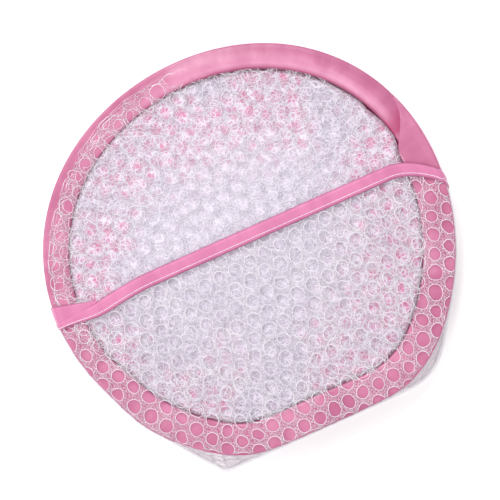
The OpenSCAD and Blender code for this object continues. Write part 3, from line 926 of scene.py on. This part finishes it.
def padEdge(leaf, f):
    # the inner edge of the tape all round, less a small gap
    t = np.arange(0, 1080, 2.0) + 0.5
    r, heading, base, wide = coilPath(leaf, t)
    if leaf == 4:
        r = np.where((t < 80) | (t > 1065), bag["radius"], r)
    inner = (r - wide).reshape(3, 180).min(0)
    order = np.argsort(heading[:180] % 360)
    return np.interp(np.asarray(f) % 360, (heading[:180] % 360)[order], inner[order],
                     period=360) - leafNet["padGap"]


def topStrandEdge(f):
    # the inner edge of the uppermost strand of the top leaf
    t = np.arange(0, 1080, 2.0) + 0.5
    r, heading, base, wide = coilPath(4, t)
    highest = base.reshape(3, 180).argmax(0)
    inner = (r - wide).reshape(3, 180)[highest, np.arange(180)]
    order = np.argsort(heading[:180] % 360)
    g = np.asarray(f) % 360
    edge = np.interp(g, (heading[:180] % 360)[order], inner[order], period=360) - leafNet["padGap"]
    return mix(padEdge(4, f), np.maximum(edge, padEdge(4, f)), smooth((g - 50) / 12) * smooth((340 - g) / 12))


def polarGrid(rings, spokes, edge):
    share = np.linspace(0.0, 1.0, rings) ** 0.85
    f = np.linspace(0, 360, spokes + 1)
    reach = edge(f)
    r = share[:, None] * reach[None, :]
    x, y = polar(r, f[None, :])
    return r, x, y, share, f


def buildPad(leaf, low, high):
    # a closed cushion of folds, flat below and crumpled above
    name = f"foldedMesh{leaf}"
    r, x, y, share, f = polarGrid(26, 120, lambda f: padEdge(leaf, f))
    domed = np.sqrt(np.clip(1 - (share[:, None] + 0 * r) ** 40, 0, 1))
    middle = (low + high) / 2 if leaf < 4 else leafNet["flangeZ"]
    rise = crumpled(x, y, leaf * 11.3) * leafNet["crumple"]
    under = middle - (middle - low - 0.2) * domed + (0.15 * rise if leaf < 4 else -0.1)
    xTop, yTop = x, y
    if leaf == 4:
        rTop, xTop, yTop, share, f = polarGrid(26, 120, topStrandEdge)
        rise = crumpled(xTop, yTop, leaf * 11.3) * leafNet["crumple"] + 0.7 * smooth((rTop - 74) / 12)
    top = middle + (high - middle - 0.5 + rise) * domed
    upper = np.stack([xTop, yTop, top], -1)[:, :-1]
    lower = np.stack([x, y, under], -1)[::-1][1:, :-1]
    points = np.concatenate([upper, lower], 0)
    flat = np.zeros((points.shape[0], points.shape[1] + 1, 2))
    piece = gridMesh(name, points, flat, False, True)
    return tidyMesh(piece, weld=1e-6)


def netLayer(name, points, flatXY, **inputs):
    size = leafNet["flatSize"]
    cloth = gridMesh(name + "Cloth", points, flatXY * mm / size + 0.5)
    values = {"Flat Size": size}
    values.update(inputs)
    return grow(cloth, knittedNet, name, **values)


def leafLayer(name, seed, turn, height, edge, **inputs):
    r, x, y, share, f = polarGrid(30, 144, edge)
    points = np.stack([x, y, height(r, x, y, f[None, :])], -1)
    return netLayer(name, points, np.stack([x, y], -1), Seed=seed, Turn=turn, **inputs)


def topHeight(drop):
    def height(r, x, y, f):
        heap = leafNet["heapLow"] + crumpled(x, y, 4 * 11.3) * leafNet["crumple"] + 0.6
        heap = heap + 0.7 * smooth((r - 74) / 12)
        over = mix(heap, leafNet["overTop"], smooth((r - 82) / 8))
        inside = netEdge(f + 0 * r) < 91
        return np.where(inside, heap + 0.2, over) - drop
    return height


def flatHeight(z):
    return lambda r, x, y, f: z + 0.12 * crumpled(x, y, z)


print("leaf pads and nets")
heights = {1: (1.2, 4.9), 2: (7.3, 11.4), 3: (12.35, 16.1), 4: (17.9, 21.4)}
for leaf in (1, 2, 3, 4):
    low, high = heights[leaf]
    pad = buildPad(leaf, low, high)
    finish(pad, padNet, bodies[leaf], [f"mesh_panel_{leaf}"])
    nets = []
    if leaf == 4:
        nets.append(leafLayer("topNet4", 3, 0.35, topHeight(0.0), netEdge, **topNet))
        nets.append(leafLayer("innerNet4", 11, 1.25, topHeight(0.45), lambda f: netEdge(f) - 1.5,
                              **innerNet))
    if leaf == 1:
        nets.append(leafLayer("underNet1", 5, 0.9, flatHeight(1.05), lambda f: 86.0 + 0 * f, **hiddenNet))
    for net in nets:
        finish(net, None, bodies[leaf])


# Handles and the bag's floor

def roundedPlate(name, outline, z, thick, seed):
    # a thin closed plate of cloth from a grid of points across it
    nu, nv = outline.shape[:2]
    wave = 0.05 * rough(np.concatenate([outline, np.zeros((nu, nv, 1))], -1), 9.0, seed)
    top = np.concatenate([outline, (z + thick + wave)[..., None]], -1)
    low = np.concatenate([outline, (z + wave)[..., None]], -1)
    points = np.concatenate([top, low[:, ::-1]], 1)
    run = np.stack(np.meshgrid(np.arange(nu) / nu * 0.09, np.arange(2 * nv + 1) / nv * 0.02,
                               indexing="ij"), -1)
    return closeEnds(gridMesh(name, points, run, False, True))


def buildHandle(leaf, facing):
    strap = {"length": 90.0, "wide": 20.0, "thick": 0.5}
    z = leafZ(leaf) + 5.275 - 0.2 - 1.2
    a = np.radians(facing)
    along = np.linspace(-strap["length"] / 2, strap["length"] / 2, 60)
    across = np.linspace(-strap["wide"] / 2, strap["wide"] / 2, 12)
    u, v = np.meshgrid(along, across, indexing="ij")
    outline = np.stack([u * np.cos(a) - v * np.sin(a), u * np.sin(a) + v * np.cos(a)], -1)
    lower = roundedPlate("lower", outline, z + 0.05, strap["thick"], leaf)
    upper = roundedPlate(f"carryHandle{leaf}", outline, z + 0.65, strap["thick"], leaf + 2)
    work = bmesh.new()
    work.from_mesh(upper.data)
    work.from_mesh(lower.data)
    work.to_mesh(upper.data)
    work.free()
    bpy.data.objects.remove(lower)
    return upper


print("handles and floor of the bag")
for number, leaf, facing in ((1, 1, 20), (2, 3, 65)):
    handle = buildHandle(leaf, facing)
    finish(handle, webbingWeave, bodies[leaf], [f"carry_handle_{number}"])
floorNet = leafLayer("bagFloorNet", 8, 0.2, flatHeight(6.95), lambda f: 84.0 + 0 * f,
                     **hiddenNet)
finish(floorNet, None, "coil_2", ["bottom_panel"])


# Pouch: front net draped over the disc, back net, bindings and seam

drape = {"round": 3.0, "over": 0.5, "columns": 150, "topRows": 34, "sideRows": 14, "sink": 0.5,
         "rightPull": 2.6, "leftDroop": 5.0, "leftNarrow": 0.5, "mouthIn": 2.8, "underBand": 2.0,
         "frontFlat": (0.26, 0.13), "backFlat": (0.212, 0.104),
         "rimOut": 0.2, "flareFrom": 1.5, "flareRun": 6.0, "bow": 0.65, "waist": 14.0}
frontNetLook = {"Seed": 2, "Turn": 0.1, "Columns": 32, "Rows": 34, "Filament": 0.1 * mm,
                "Second Lace": True, "Material": pouchYarn}
backNetLook = {"Seed": 6, "Turn": 0.22, "Columns": 28, "Rows": 26, "Stray": 0.8 * mm,
               "Material": pouchYarn}
hug = bag["radius"] + pouch["fitGap"]
leftEnd = 180 - np.degrees(np.arcsin((pouch["mouthY"] - drape["leftDroop"]) / hug))
rightX = bag["radius"] - drape["round"]
rightEnd = 360 + np.degrees(np.arctan2(mouth(rightX), rightX))


def sideProfile(f, w):
    # radius and height where the pouch's side comes down, w from 0 on top to 1 at the seam
    rim = discR(f) + drape["rimOut"]
    outer = pouchR(f)
    c = smooth((outer - rim - drape["flareFrom"]) / drape["flareRun"])
    bow = outer - (drape["bow"] * (outer - rim))
    p = [(rim - drape["round"], pouch["top"] + 0 * f), (rim + drape["over"], pouch["top"] + 0 * f),
         (mix(rim + 0.6, bow, c), mix(drape["waist"], pouch["low"] + 2, c)), (outer, pouch["low"] + 0 * f)]
    k = [(1 - w) ** 3, 3 * w * (1 - w) ** 2, 3 * w * w * (1 - w), w ** 3]
    return [sum(k[i] * p[i][j] for i in range(4)) for j in (0, 1)]


def topZ(x, y):
    r = np.hypot(x, y)
    wave = 0.2 * crumpled(x, y, 31.7)
    return pouch["top"] - drape["sink"] * (1 - smooth((r - 60) / 30)) + wave * (1 - smooth((r - 92) / 8))


def mouthStart(a):
    x = mix(-(discR(leftEnd) - drape["mouthIn"]) * np.cos(np.radians(180 - leftEnd)),
            (discR(rightEnd) - drape["mouthIn"]) * np.cos(np.radians(rightEnd)), a)
    return x, mouth(x) - drape["leftDroop"] * smooth((-x - 52) / 50)


def buildFrontNet():
    a = np.linspace(0, 1, drape["columns"])[:, None]
    f = mix(leftEnd, rightEnd - drape["rightPull"], a)
    x0, y0 = mouthStart(a)
    y0 = y0 - drape["underBand"]
    rimR, rimZ = sideProfile(f, 0.0)
    x1, y1 = polar(rimR, f)
    b = np.linspace(0, 1, drape["topRows"])[None, :]
    xTop, yTop = mix(x0, x1, b), mix(y0, y1, b)
    zTop = topZ(xTop, yTop)
    w = np.linspace(0, 1, drape["sideRows"])[None, 1:]
    rSide, zSide = sideProfile(f + 0 * w, w)
    xSide, ySide = polar(rSide, f)
    points = np.stack([np.concatenate(parts, 1) for parts in ((xTop, xSide), (yTop, ySide),
                                                               (zTop, zSide))], -1)
    stepR = np.diff(np.concatenate([rimR + 0 * w[:, :1], rSide], 1), axis=1)
    stepZ = np.diff(np.concatenate([rimZ + 0 * w[:, :1], zSide], 1), axis=1)
    unrolled = rimR + np.cumsum(np.hypot(stepR, stepZ), 1)
    xFlat, yFlat = polar(unrolled, f)
    flat = np.stack([np.concatenate([xTop, xFlat], 1), np.concatenate([yTop, yFlat], 1)], -1)
    return netLayer("pouchFrontNet", points, flat, **frontNetLook)


print("pouch")
frontNet = buildFrontNet()
finish(frontNet, None, ("pouch", "pouch_front"), ["pouch_front"])


def buildBackNet():
    f = np.linspace(leftEnd, rightEnd, 160)[:, None]
    a = (f - f[0]) / (f[-1] - f[0])
    x0 = mix(-hug * 0.996, hug * 0.996, a)
    y0 = mouth(x0) - drape["underBand"]
    x1, y1 = polar(pouchR(f) + 0.2, f)
    b = np.linspace(0, 1, 40)[None, :]
    x, y = mix(x0, x1, b), mix(y0, y1, b)
    points = np.stack([x, y, 0.32 + 0 * x], -1)
    return netLayer("pouchBackNet", points, np.stack([x, y], -1), **backNetLook)


backNet = buildBackNet()
finish(backNet, None, "pouch", ["pouch_back"])


def bandAlong(name, lineOf, count, wide, thick, seed):
    # a folded tape: lineOf(u, s) gives its middle surface and outward direction
    ring = []
    for s in np.linspace(0, 1, 9):
        ring.append((s, 0.5 - 0.5 * abs(2 * s - 1) ** 6))
    ring += [(s, -h) for s, h in reversed(ring[1:-1])]
    u = np.linspace(0, 1, count)
    rows = []
    for s, h in ring:
        place, outward = lineOf(u, s * wide)
        rows.append(place + outward * (h * thick))
    points = np.stack(rows, 1)
    length = np.concatenate([[0], np.cumsum(np.linalg.norm(np.diff(points[:, 0], axis=0), axis=1))])
    dent = rough(np.stack([np.broadcast_to(length[:, None] / 14, points.shape[:2]),
                           np.broadcast_to(np.arange(len(ring))[None, :] / 4, points.shape[:2]),
                           points[..., 0] * 0 + seed], -1), 1.0, seed)
    points[..., 2] += 0.12 * dent
    girth = np.linspace(0, 2 * wide, len(ring) + 1)
    flat = np.stack(np.meshgrid(length, girth, indexing="ij"), -1) * mm
    return closeEnds(gridMesh(name, points, flat, False, True))


def frontMouth(u, down):
    # the mouth's line over the top and down both sides, shifted down the front by a distance
    down = down * (1 - drape["leftNarrow"] * smooth((0.19 - u) / 0.09))
    left = np.clip(1 - u / 0.1, 0, 1)
    right = np.clip((u - 0.9) / 0.1, 0, 1)
    step = np.degrees(down / hug)
    x, y = mouthStart(np.clip((u - 0.1) / 0.8, 0, 1))
    across = np.stack([x, y - down, topZ(x, y - down) + 0.45], -1)
    place, outward = across, np.stack([0 * u, 0 * u, 1 + 0 * u], -1)
    pull = drape["rightPull"] * smooth(right * 1.6)
    for share, f in ((left, leftEnd + step), (right, rightEnd - step - pull)):
        r, z = sideProfile(f, share)
        r2, z2 = sideProfile(f, np.clip(share + 0.01, 0, 1))
        r1, z1 = sideProfile(f, np.clip(share - 0.01, 0, 1))
        n = np.stack([-(z2 - z1), r2 - r1], -1)
        n = n / np.maximum(np.linalg.norm(n, axis=-1, keepdims=True), 1e-9)
        x, y = polar(1.0, f)
        side = np.stack([x * (r + 0.4 * n[:, 0]), y * (r + 0.4 * n[:, 0]), z + 0.4 * n[:, 1]], -1)
        way = np.stack([x * n[:, 0], y * n[:, 0], n[:, 1]], -1)
        on = (share > 0)[:, None]
        place, outward = np.where(on, side, place), np.where(on, way, outward)
    return place, outward


def backMouth(u, down):
    x = mix(-hug, hug * 0.998, u)
    y = mouth(x) - down
    return np.stack([x, y, 0.35 + 0 * u], -1), np.stack([0 * u, 0 * u, 1 + 0 * u], -1)


frontBand = bandAlong("frontBinding", frontMouth, 260, pouch["bindingWide"], 0.85, 3.3)
finish(frontBand, bindingSatin, ("pouch", "pouch_front"), ["front_binding"])
backBand = bandAlong("backBinding", backMouth, 160, pouch["bindingWide"], 0.6, 9.1)
finish(backBand, bindingSatin, "pouch", ["back_binding"])


def leftFold(u, share):
    # the back binding comes up round the left rim and narrows to a tip under the front one
    fold = {"tip": (-81.5, 8.7), "tipWide": 0.8, "high": 172.0, "low": 178.4}
    f = mix(fold["high"], fold["low"], share + 0 * u)
    rimR, rimZ = sideProfile(f, 0.0)
    xRim, yRim = polar(rimR, f)
    a = np.clip(u * 2, 0, 1)
    x = mix(fold["tip"][0], xRim, a)
    y = mix(fold["tip"][1] - share * fold["tipWide"], yRim, a)
    w = np.clip(u * 2 - 1, 0, 1)
    r, z = sideProfile(f, w)
    xSide, ySide = polar(r + 0.3, f)
    on = (w > 0)[:, None]
    top = np.stack([x, y, topZ(x, y) + 0.3 + 0.3 * share * (1 - a)], -1)
    cx, cy = polar(1.0, f)
    lean = smooth(w * 4)
    way = np.stack([cx * lean, cy * lean, 1 - 0.98 * lean], -1)
    way = way / np.linalg.norm(way, axis=-1, keepdims=True)
    return np.where(on, np.stack([xSide, ySide, z + 0.2 * (1 - w)], -1), top), way


foldBand = bandAlong("backBindingFold", leftFold, 90, 1.0, 0.5, 4.4)
finish(foldBand, bindingSatin, ("pouch", "pouch_front"))

stitchLine, lift = frontMouth(np.linspace(0.02, 0.98, 260), pouch["stitchDown"])
mouthRow = {"Pitch": 2.9 * mm, "Length": 2.7 * mm, "Thread": 0.14 * mm, "Material": threadWhite}
mouthStitch = grow(pathMesh(stitchLine + lift * 0.46), stitchRow, "mouthStitch", **mouthRow)
finish(mouthStitch, None, ("pouch", "pouch_front"), ["mouth_stitch"])


def buildSeam():
    # overlock loops round the edge where the two nets meet
    overlock = {"Pitch": 1.1 * mm, "Length": 2.6 * mm, "Thread": 0.22 * mm, "Arch": 0.5 * mm,
                "Slant": 0.9, "Material": threadWhite}
    f = np.linspace(leftEnd, rightEnd, 420)
    x, y = polar(pouchR(f) + 0.2, f)
    line = np.stack([x, y, 0.95 + 0 * x], -1)
    return grow(pathMesh(line), stitchRow, "pouchSeam", **overlock)


seam = buildSeam()
finish(seam, None, "pouch", ["pouch_seam"])
